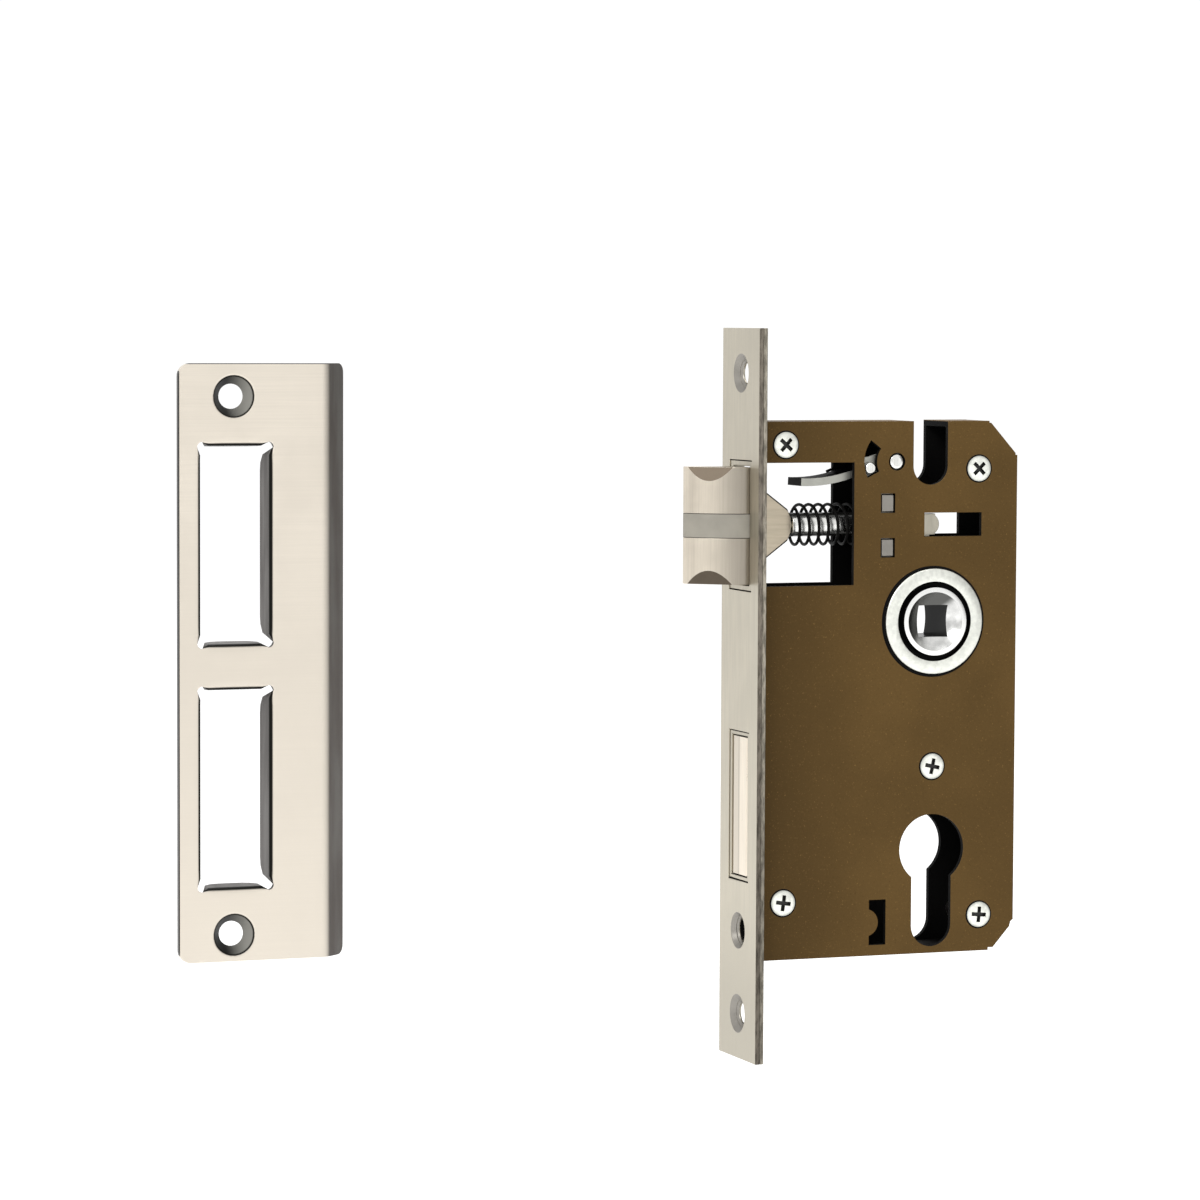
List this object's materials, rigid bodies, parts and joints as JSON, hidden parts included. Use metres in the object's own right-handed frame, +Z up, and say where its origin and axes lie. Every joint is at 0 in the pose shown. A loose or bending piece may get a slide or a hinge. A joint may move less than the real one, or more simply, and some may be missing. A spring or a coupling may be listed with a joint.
{
  "type": "mortise lock",
  "caption": "Euro-profile mortise lock with sprung bevel latch, square deadbolt, forend and folded strike plate.",
  "frame": {"origin": "middle of the forend's front face, halfway between its two wood-screw holes", "axes": "+X from the forend's front face back into the door; Y across the door's thickness, the cover plate on -Y; +Z up"},
  "size_m": [0.2206, 0.024, 0.184],
  "materials": {
    "bronze_paint": "fine textured bronze-brown paint",
    "zinc": "bright zinc",
    "satin_stainless": "satin stainless",
    "dull_steel": "plain steel",
    "satin_nickel": "satin nickel",
    "grey_nylon": "moulded nylon",
    "nickel_tan": "nickel plate with a warm tint",
    "bright_steel": "ground steel",
    "dark_steel": "blackened steel",
    "black_wire": "black spring wire",
    "chrome_hub": "polished chrome",
    "brushed_stainless": "brushed stainless"
  },
  "bodies": {
    "case": {"case_tray": "bronze_paint", "cover_plate": "bronze_paint", "case_screws": "zinc", "screw_posts": "zinc", "outer_forend": "satin_stainless", "inner_forend": "dull_steel", "latch_bolster": "dull_steel", "bolt_bolster": "dull_steel", "latch_guide": "dull_steel", "spring_washer": "dull_steel", "latch_spring": "black_wire", "follower_bush_front": "zinc", "follower_bush_back": "zinc", "follower_return_spring": "black_wire", "return_spring_stud": "dull_steel", "tumbler_spring_stud": "dull_steel", "tumbler_spring": "black_wire", "catch_pivot": "bright_steel", "catch_spring": "black_wire"},
    "latch": {"latch_head": "satin_nickel", "latch_insert": "grey_nylon", "latch_tail": "nickel_tan", "latch_rod": "bright_steel", "latch_carriage": "satin_nickel", "rod_clip": "black_wire"},
    "follower": {"follower_hub": "chrome_hub", "follower_cam": "dull_steel"},
    "deadbolt": {"deadbolt_head": "satin_nickel", "deadbolt_tail": "dull_steel", "deadbolt_rivets": "dull_steel"},
    "tumbler": {"bolt_tumbler": "dull_steel", "tumbler_stump": "dull_steel"},
    "catch": {"reversing_catch": "dark_steel", "catch_pin": "bright_steel"},
    "strike": {"strike_plate": "brushed_stainless"}
  },
  "joints": [
    {"name": "follower_turn", "type": "hinge", "parent": "case", "child": "follower", "pos_m": [0.05, 0, 0.018], "axis": [0, 1, 0], "range_deg": [0, 45.02], "stiffness_Nm_per_rad": 0.6, "springref_deg": -17.19, "deforming": ["follower_return_spring"]},
    {"name": "latch_slide", "type": "slide", "parent": "case", "child": "latch", "axis": [1, 0, 0], "range_m": [0, 0.0133], "stiffness_N_per_m": 150, "springref_m": -0.01, "deforming": ["latch_spring"]},
    {"name": "deadbolt_throw", "type": "slide", "parent": "case", "child": "deadbolt", "axis": [-1, 0, 0], "range_m": [0, 0.02]},
    {"name": "tumbler_lift", "type": "hinge", "parent": "case", "child": "tumbler", "pos_m": [0.05, 0, -0.0189], "axis": [0, 1, 0], "range_deg": [0, 6], "stiffness_Nm_per_rad": 0.05, "springref_deg": -5.73, "deforming": ["tumbler_spring"]},
    {"name": "catch_lift", "type": "hinge", "parent": "case", "child": "catch", "pos_m": [0.0396, 0, 0.0585], "axis": [0, 1, 0], "range_deg": [0, 20], "stiffness_Nm_per_rad": 0.02, "springref_deg": -11.46, "deforming": ["catch_spring"]},
    {"name": "strike_place", "type": "slide", "parent": "case", "child": "strike", "axis": [-1, 0, 0], "range_m": [0, 0.03]}
  ],
  "couplings": [
    {"joint": "follower_turn", "follows": "latch_slide", "rad_per_m": 59.053}
  ]
}
